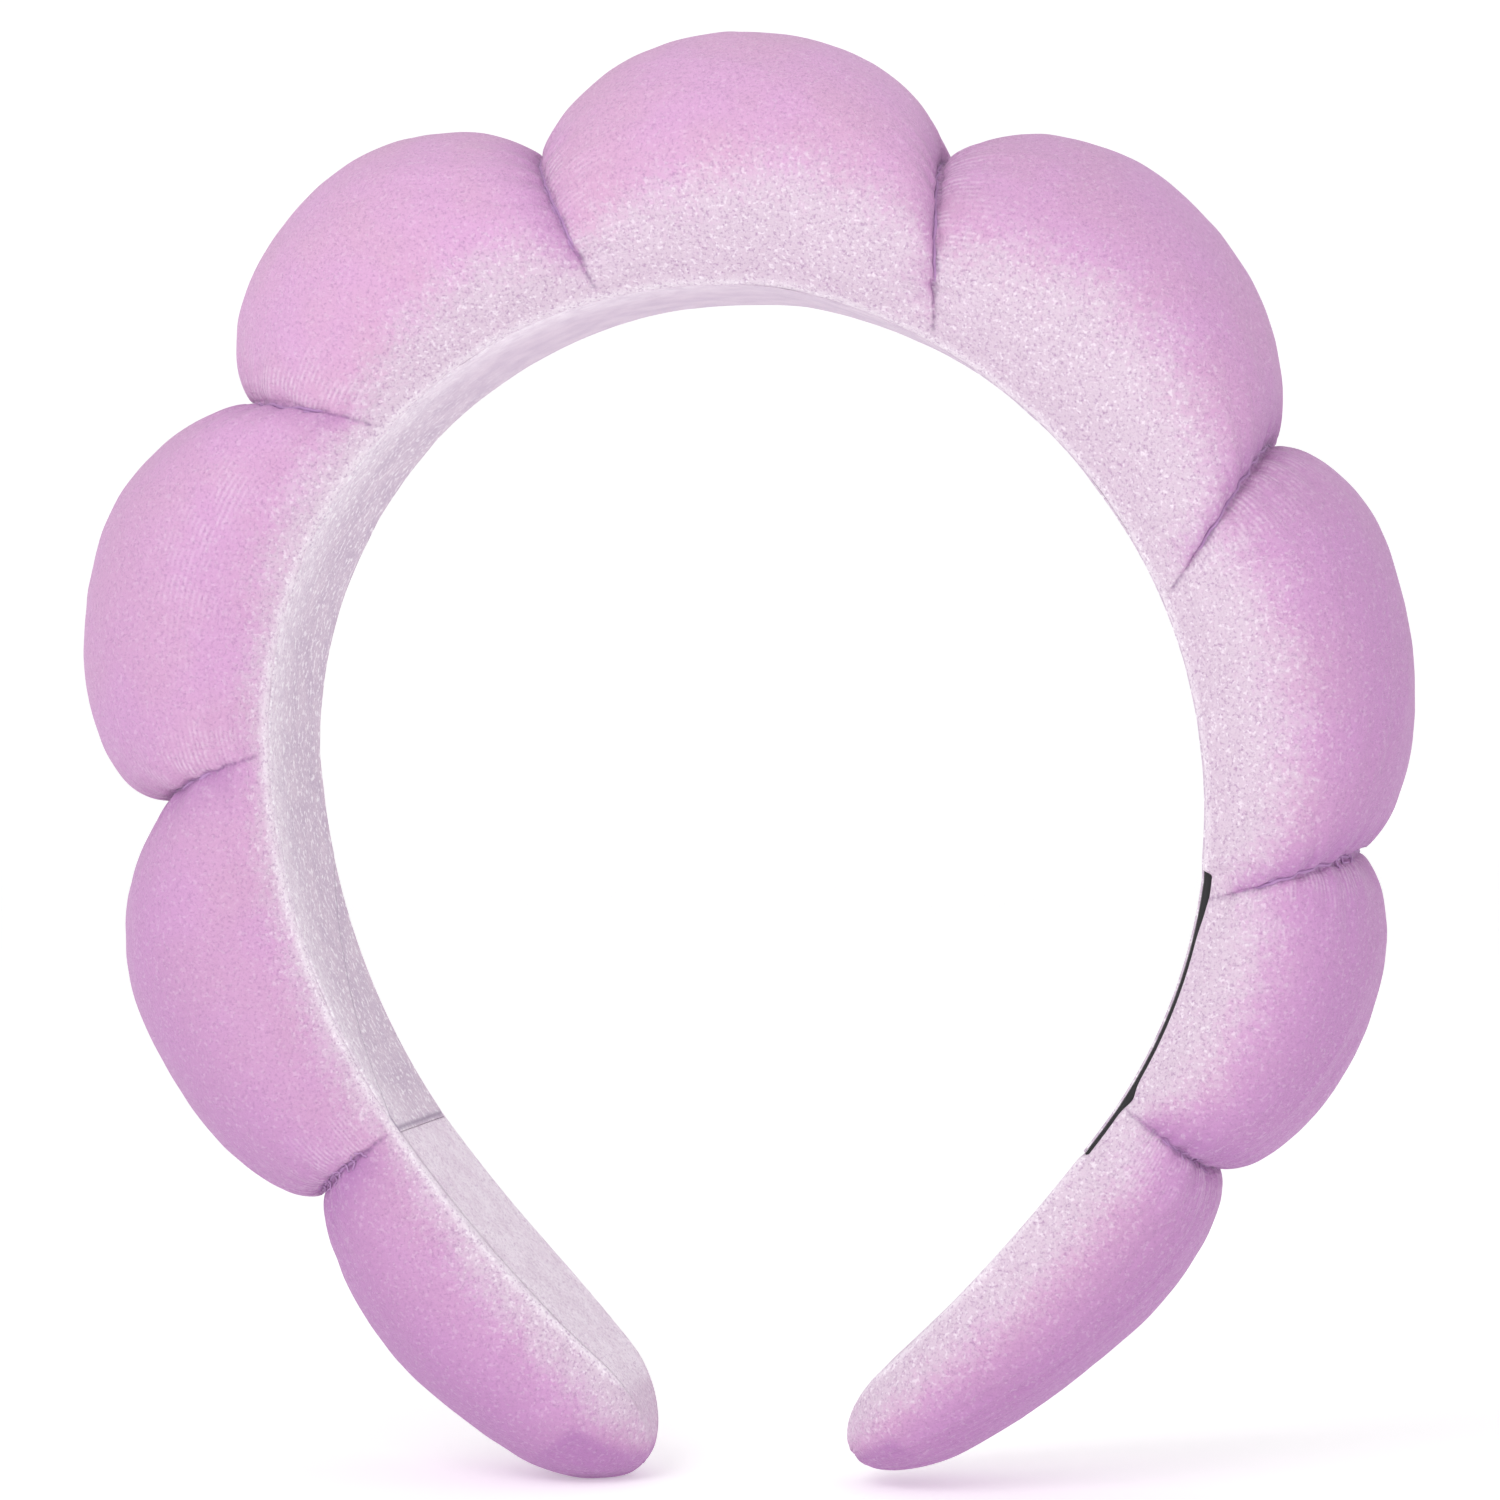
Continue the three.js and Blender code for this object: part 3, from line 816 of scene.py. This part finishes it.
def painted_sheen_and_shade():
    """Painted sheen where the velvet's nap shows pale, painted shade where its colour is deep and in its
    creases, its ribs, and painted sheen on its inner face.
    """
    along = roll.along + roll.up * roll.lean
    rise = roll.up / roll.height
    start, end, low, high = (
        np.interp(along, [row[0] for row in SHEEN_AND_SHADE], [row[k] for row in SHEEN_AND_SHADE]) for k in (1, 2, 3, 4)
    )
    # Painted sheen: pale low on each section, fading out between the start and end heights.
    t = np.clip((rise - start) / (end - start), 0, 1)
    painted_sheen = 1 - t * t * (3 - 2 * t)
    # Deeper colour toward each lobe's outer side and down the arms: painted shade, partly the nap's own
    # deeper colour.
    deep_shade = mix(low, high, smooth(0.2, 0.95, rise))
    outer = smooth(1.5, 7, roll.up)
    # Painted shade on one side of each crease: deeper colour and less sheen there.
    crease_side_shade = np.exp(-((roll.before / 4.5) ** 1.5)) * outer
    deep_shade = np.clip(deep_shade + 0.6 * crease_side_shade, 0, 1)
    painted_sheen = painted_sheen * (1 - 0.75 * crease_side_shade)
    # Painted shade on a facet near the end of each tip's nose: deeper colour and less sheen.
    nose_facet_shade = smooth(206.5, 209, np.abs(roll.along)) * smooth(4, 6.5, roll.up - 0.25 * np.abs(roll.across))
    deep_shade = np.clip(deep_shade + 0.45 * nose_facet_shade, 0, 1.2)
    painted_sheen = painted_sheen * (1 - 0.85 * nose_facet_shade)
    # Painted shade along each crease line, away from the inner side.
    near = np.minimum(roll.before, roll.after)
    crease_shade = np.exp(-((near / 0.36) ** 2)) * smooth(0.8, 2.4, roll.up)
    # Painted sheen on the inner face, strongest at its front edge; past the lining on the left tip it covers
    # the whole inner face.
    half = np.abs(roll.across).max(axis=1, keepdims=True)
    edge_sheen = np.exp(-(((roll.across / half + 0.85) / 0.6) ** 2))
    past_lining = smooth(150, 165, -roll.along)  # on the left tip the whole inner face is bright
    inner = (1 - smooth(0.35, 1.6, roll.up)) * mix(edge_sheen, 1.15, past_lining)
    rib = np.exp(-((roll.after / 7) ** 2)) + 0.25 * np.exp(-((roll.before / 4) ** 2))
    rib = rib + 0.7 * np.exp(-(((along + 76) / 14) ** 2) - ((rise - 0.4) / 0.16) ** 2)
    rib = np.clip(rib * outer * mix(1, 0.5, deep_shade), 0, 1)
    return painted_sheen, deep_shade, crease_shade, rib, inner


def add_velvet():
    painted_sheen, deep_shade, crease_shade, rib, inner = painted_sheen_and_shade()
    cloth = roll.points * CLOTH_UNIT
    wales = roll.share * ROUND * 2 * math.pi / WALE
    for side in SIDES:
        for i in range(4):
            first, last = cut_rows(side, i)
            rows = slice(first, last + 1)
            values = {
                "cloth": cloth[rows], "painted_sheen": painted_sheen[rows], "deep_shade": deep_shade[rows],
                "crease_shade": crease_shade[rows], "rib": rib[rows], "wales": wales[rows], "inner": inner[rows],
            }
            piece = tube(f"velvet_{side}_{i + 1}", roll.points[rows], values)
            dress(piece, VELVET)
            above, below = bodies_at(side, i)
            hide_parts(f"sleeve_{above}", f"sponge_{above}", f"sleeve_{below}", f"sponge_{below}")
            bend(piece)


# ---------- The band and the lining ----------


def strip_rows(side, i):
    """Rows of the roll that the band reaches within the stretch across a tie."""
    first, last = cut_rows(side, i)
    rows = np.arange(first, last + 1)
    along = roll.along[rows, 0]
    return rows[(along >= -BAND_END["left"]) & (along <= BAND_END["right"])]


def fasten(piece, side, i):
    """The strip across the left arm's last tie rides on the body above that tie; any other strip keeps its
    place, baked into its mesh.
    """
    if side == "left" and i == 3:
        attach(piece, bodies_at(side, i)[0])
    else:
        bend(piece)


def band_node_names(side, i, kind):
    above, below = bodies_at(side, i)
    names = [f"{kind}_{above}", f"{kind}_{below}"]
    return [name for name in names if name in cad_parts]


def rounded_bar(half, low, high, radius, steps=6):
    """Outline of a flat bar with rounded edges, as across and up."""
    turn = np.linspace(-math.pi / 2, 0, steps)
    corner = np.array([half - radius, low + radius])
    first = corner + radius * np.stack([np.cos(turn), np.sin(turn)], -1)
    corner = np.array([half - radius, high - radius])
    second = corner + radius * np.stack([np.cos(turn + math.pi / 2), np.sin(turn + math.pi / 2)], -1)
    right = np.concatenate([first, second])
    left = right[::-1] * [-1, 1]
    return np.concatenate([right, left])


def add_band():
    outline = rounded_bar(BAND_WIDTH / 2, BAND_LOW, BAND_HIGH, BAND_EDGE)
    for side in SIDES:
        for i in range(4):
            along = roll.along[strip_rows(side, i), 0]
            points = place(along[:, None], outline[None, :, 1], outline[None, :, 0])
            piece = tube(f"band_strip_{side}_{i + 1}", points)
            dress(piece, PLASTIC)
            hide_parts(*band_node_names(side, i, "band"))
            fasten(piece, side, i)


def lap(along):
    """Where across the lining its lapped edge runs, low on the left arm, and how far it shows."""
    start, end = 117, 158
    share = np.clip((-along - start) / (end - start), 0, 1)
    return mix(15.5, -13.6, share), smooth(112, 120, -along)


def pucker(along, across):
    """A small pucker in the lining just left of the crown."""
    x = (along + 10) / 4.5
    y = (across + 9) / 0.9
    return -0.35 * np.exp(-x * x - y * y)


def add_lining():
    columns = np.linspace(-1, 1, LINING_COLUMNS)
    for side in SIDES:
        for i in range(4):
            rows = strip_rows(side, i)
            along = roll.along[rows]
            if (side, i) == ("left", 3):  # laps over the velvet past the channel's end
                along = np.concatenate([along[:1] - 0.6, along[:1] - 0.35, along])
                rows = np.concatenate([rows[:1], rows[:1], rows])
            face = np.array([roll.sections[r].face for r in rows])[:, None] / 2
            bare = smooth(116, 119, along)
            half = mix(face - LINING_INSET, LINING_BARE, bare)
            across = columns[None] * half
            edge = half - np.abs(across)
            rounded = LINING_THICK * (1 - np.sqrt(1 - np.clip(1 - edge / 0.5, 0, 1) ** 2))
            seam_at, seam_shows = lap(along)
            step = smooth(-0.15, 0.15, across - seam_at) * seam_shows
            wave = 0.05 * lumps(31, along, across, 14) + 0.025 * lumps(32, along, across, 5)
            low = 0.06 + wave + rounded * 0.8 + 0.14 * step
            low = mix(low, 0.18 + rounded, bare)
            low = low + pucker(along, across)
            high = low + LINING_THICK * (1 - 0.8 * np.clip(1 - edge / 0.5, 0, 1) ** 2)
            near = place(along, low, across)
            far = place(along, high, across)[:, ::-1]
            points = np.concatenate([near, far], axis=1)
            run = along * CLOTH_UNIT + 0 * across
            cloth = np.stack([run, across * CLOTH_UNIT, 0 * across], -1)
            cloth = np.concatenate([cloth, cloth[:, ::-1]], axis=1)
            # Painted shade along the lapped edge and at the lining's end.
            lap_shade = np.exp(-((across - seam_at + 0.1) / 0.34) ** 2) * seam_shows
            end = np.exp(-((along + BAND_END["left"]) / 0.4) ** 2) * (across > seam_at)
            lap_shade = np.clip(lap_shade + end, 0, 1)
            lap_shade = np.concatenate([lap_shade, 0 * lap_shade], axis=1)
            pile = smooth(30, 60, -along) + smooth(25, 60, along) + 0 * across
            pile = np.concatenate([pile, pile[:, ::-1]], axis=1)
            # Painted sheen toward the lining's front edge, weaker from the crown rightward.
            rim = np.exp(-((across + half) / 8) ** 2) * mix(1, 0.2, smooth(-30, 10, along))
            rim = np.concatenate([rim, rim[:, ::-1]], axis=1)
            values = {"cloth": cloth, "lap_shade": lap_shade, "pile": pile, "rim": rim}
            piece = tube(f"lining_strip_{side}_{i + 1}", points, values)
            dress(piece, LINING)
            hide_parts(*band_node_names(side, i, "lining"))
            fasten(piece, side, i)


# ---------- The threads ----------


PLY = 0.16  # how far the two twisted strands stand out, as a share of the radius


def cord_mesh(path, radius, lay=1.6, sides=10):
    """Points round a twisted cord that follows a path, as a grid of loops."""
    path = np.asarray(path, float)
    tangent = np.gradient(path, axis=0)
    tangent /= np.linalg.norm(tangent, axis=1, keepdims=True)
    up = np.array([0.0, 1.0, 0.0])
    side = np.cross(tangent, up)
    short = np.linalg.norm(side, axis=1) < 0.3
    side[short] = np.cross(tangent[short], [0.3, 0.2, 0.9])
    side /= np.linalg.norm(side, axis=1, keepdims=True)
    other = np.cross(tangent, side)
    run = np.concatenate([[0], np.cumsum(np.linalg.norm(np.diff(path, axis=0), axis=1))])
    angle = np.linspace(0, 2 * math.pi, sides, endpoint=False)[None]
    size = radius * (1 + PLY * np.cos(2 * angle - 2 * math.pi * run[:, None] / lay))
    ring = side[:, None] * np.cos(angle)[..., None] + other[:, None] * np.sin(angle)[..., None]
    points = path[:, None] + ring * size[..., None]
    lengthways = run[:, None] * CLOTH_UNIT + 0 * angle
    round_it = angle * radius * CLOTH_UNIT + 0 * run[:, None]
    cloth = np.stack([lengthways, round_it, 0 * size], -1)
    return points, cloth


def resample(path, step):
    """The same path in even steps."""
    path = np.asarray(path, float)
    run = np.concatenate([[0], np.cumsum(np.linalg.norm(np.diff(path, axis=0), axis=1))])
    even = np.linspace(0, run[-1], max(4, int(run[-1] / step) + 1))
    return np.stack([np.interp(even, run, path[:, k]) for k in range(3)], -1)


def merged_tubes(name, grids):
    """One mesh of several capped tubes, each given as its points and cloth grids."""
    points, faces, cloth, start = [], [], [], 0
    for grid, fibre in grids:
        rows, columns = grid.shape[:2]
        flat = grid.reshape(-1, 3)
        faces += (grid_faces(rows, columns, True) + start).tolist()
        first, last = start + len(flat), start + len(flat) + 1
        for j in range(columns):
            k = (j + 1) % columns
            faces.append([first, start + k, start + j])
            faces.append([last, start + (rows - 1) * columns + j, start + (rows - 1) * columns + k])
        points += [flat, grid[:1].mean(axis=1), grid[-1:].mean(axis=1)]
        cloth += [fibre.reshape(-1, 3), fibre[0].mean(axis=0)[None], fibre[-1].mean(axis=0)[None]]
        start += len(flat) + 2
    return make_mesh(name, np.concatenate(points), faces, {"cloth": np.concatenate(cloth)})


THREAD_PITCH = 1.9  # between the middles of a tie's two turns, in radii
STITCH_RADIUS = 0.13
# Loose stitches over the creases, by tie: first and last share round the roll, and how many.
STITCHES = {("left", 3): (0.70, 0.88, 8), ("right", 2): (0.60, 0.68, 4), ("right", 3): (0.66, 0.78, 5)}


def tie_row(side, i):
    at = signed_ties(side)[i][0]
    return int(np.argmin(np.abs(roll.along[:, 0] - at)))


def row_at(start, distance, column):
    """The row that lies a distance along the cloth from a start row, at one column."""
    run = roll.run[:, column]
    return int(np.argmin(np.abs(run - (run[start] + distance))))


def stitch_paths(side, i):
    first, last, count = STITCHES[side, i]
    row = tie_row(side, i)
    rng = np.random.default_rng(5 + i)
    columns = roll.first + (np.linspace(first, last, count) * SHELL_STEPS).astype(int)
    paths = []
    for column in columns:
        reach = rng.uniform(0.6, 1.1)
        slant = int(rng.integers(-3, 4))
        stops = []
        for t in np.linspace(-1, 1, 9):
            here = row_at(row, t * reach, column + int(slant * t))
            point = roll.points[here, column + int(slant * t)]
            out = roll.base[row, column] - roll.base[row].mean(axis=0)
            out = out / np.linalg.norm(out)
            stops.append(point + out * (0.05 + 0.25 * (1 - t * t)))
        paths.append(resample(stops, 0.2))
    return paths


def add_threads():
    for side in SIDES:
        for i in range(4):
            row = tie_row(side, i)
            ring = roll.points[row, roll.first:roll.last + 1]
            centre = ring.mean(axis=0)
            inward = centre - ring
            inward /= np.linalg.norm(inward, axis=1, keepdims=True)
            _, down = tie_plane(side, i)
            shown = smooth(2.5, 9, roll.up[row, roll.first:roll.last + 1])[:, None]
            grids = []
            for slide in (-0.5, 0.5):
                loop = ring + inward * mix(2.2, 0.05, shown) + down * slide * THREAD_RADIUS * THREAD_PITCH
                loop = np.concatenate([loop, loop[:1]])
                grids.append(cord_mesh(resample(loop, THREAD_STEP), THREAD_RADIUS))
            if (side, i) in STITCHES:
                grids += [
                    cord_mesh(path, STITCH_RADIUS, lay=1.1, sides=8) for path in stitch_paths(side, i)
                ]
            piece = merged_tubes(f"thread_{side}_{i + 1}", grids)
            dress(piece, THREAD)
            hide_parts(f"tie_{side}_{i + 1}")
            bend(piece)


add_velvet()
add_band()
add_lining()
add_threads()

# ---------- Camera, light and floor ----------

CAMERA_AT = Vector((110, -650, -62)) * MM
LOOK_AT = Vector((1.69, 0.29, -64.71)) * MM
LENS = 110.76
LIGHTS_AIM = Vector((0, 0, -0.07))
WORLD_STRENGTH = 0.72
FLOOR_RADIUS, FLOOR_CURVE = 4.0, 1.5
FLOOR_GLOW = 0.3


def add_camera():
    data = bpy.data.cameras.new("camera")
    data.lens = LENS
    data.sensor_width = 36
    data.clip_start, data.clip_end = 0.01, 30
    camera = bpy.data.objects.new("camera", data)
    bpy.context.scene.collection.objects.link(camera)
    camera.location = CAMERA_AT
    camera.rotation_mode = "QUATERNION"
    camera.rotation_quaternion = (LOOK_AT - CAMERA_AT).to_track_quat("-Z", "Y")
    bpy.context.scene.camera = camera


def add_light(name, at, size, power):
    data = bpy.data.lights.new(name, "AREA")
    data.shape = "DISK"
    data.size = size
    data.energy = power
    light = bpy.data.objects.new(name, data)
    bpy.context.scene.collection.objects.link(light)
    light.location = at
    light.rotation_mode = "QUATERNION"
    light.rotation_quaternion = (LIGHTS_AIM - Vector(at)).to_track_quat("-Z", "Y")


def add_stage():
    world = bpy.data.worlds.new("studio")
    world.use_nodes = True
    sky = world.node_tree.nodes["Background"]
    sky.inputs["Color"].default_value = (1, 1, 1, 1)
    sky.inputs["Strength"].default_value = WORLD_STRENGTH
    bpy.context.scene.world = world
    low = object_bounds()[0].z
    rings = [(r, 0.0) for r in np.linspace(0.02, FLOOR_RADIUS, 12)]
    for a in np.linspace(0, math.pi / 2, 12)[1:]:
        rings.append((FLOOR_RADIUS + FLOOR_CURVE * math.sin(a), FLOOR_CURVE * (1 - math.cos(a))))
    turns = np.linspace(0, 2 * math.pi, 64, endpoint=False)
    points = [
        (r * math.cos(t) / MM, r * math.sin(t) / MM, (low + z) / MM) for r, z in rings for t in turns
    ]
    faces = grid_faces(len(rings), len(turns), True).tolist()
    faces.append(list(range(len(turns)))[::-1])
    floor = make_mesh("floor", np.array(points), faces)
    n = Nodes("floor")
    where = n.add("TexCoord").outputs["Object"]
    speck = n.noise(where, 40, 3)
    n.finish(
        n.blend(n.ramp(speck, 0.2, 0.8), srgb("f2f2f2"), srgb("f5f4f5")),
        n.bump(speck, 0.0001, 0.1), Roughness=0.9, Emission_Color=(1, 1, 1, 1), Emission_Strength=FLOOR_GLOW,
    )
    floor.data.materials.append(n.material)


add_camera()
add_light("key", (-0.42, -1.2, 0.9), 0.9, 7.45)
add_light("fill", (0.9, -0.9, 0.1), 1.0, 1.5)
add_stage()
bpy.context.scene.view_settings.view_transform = "Standard"
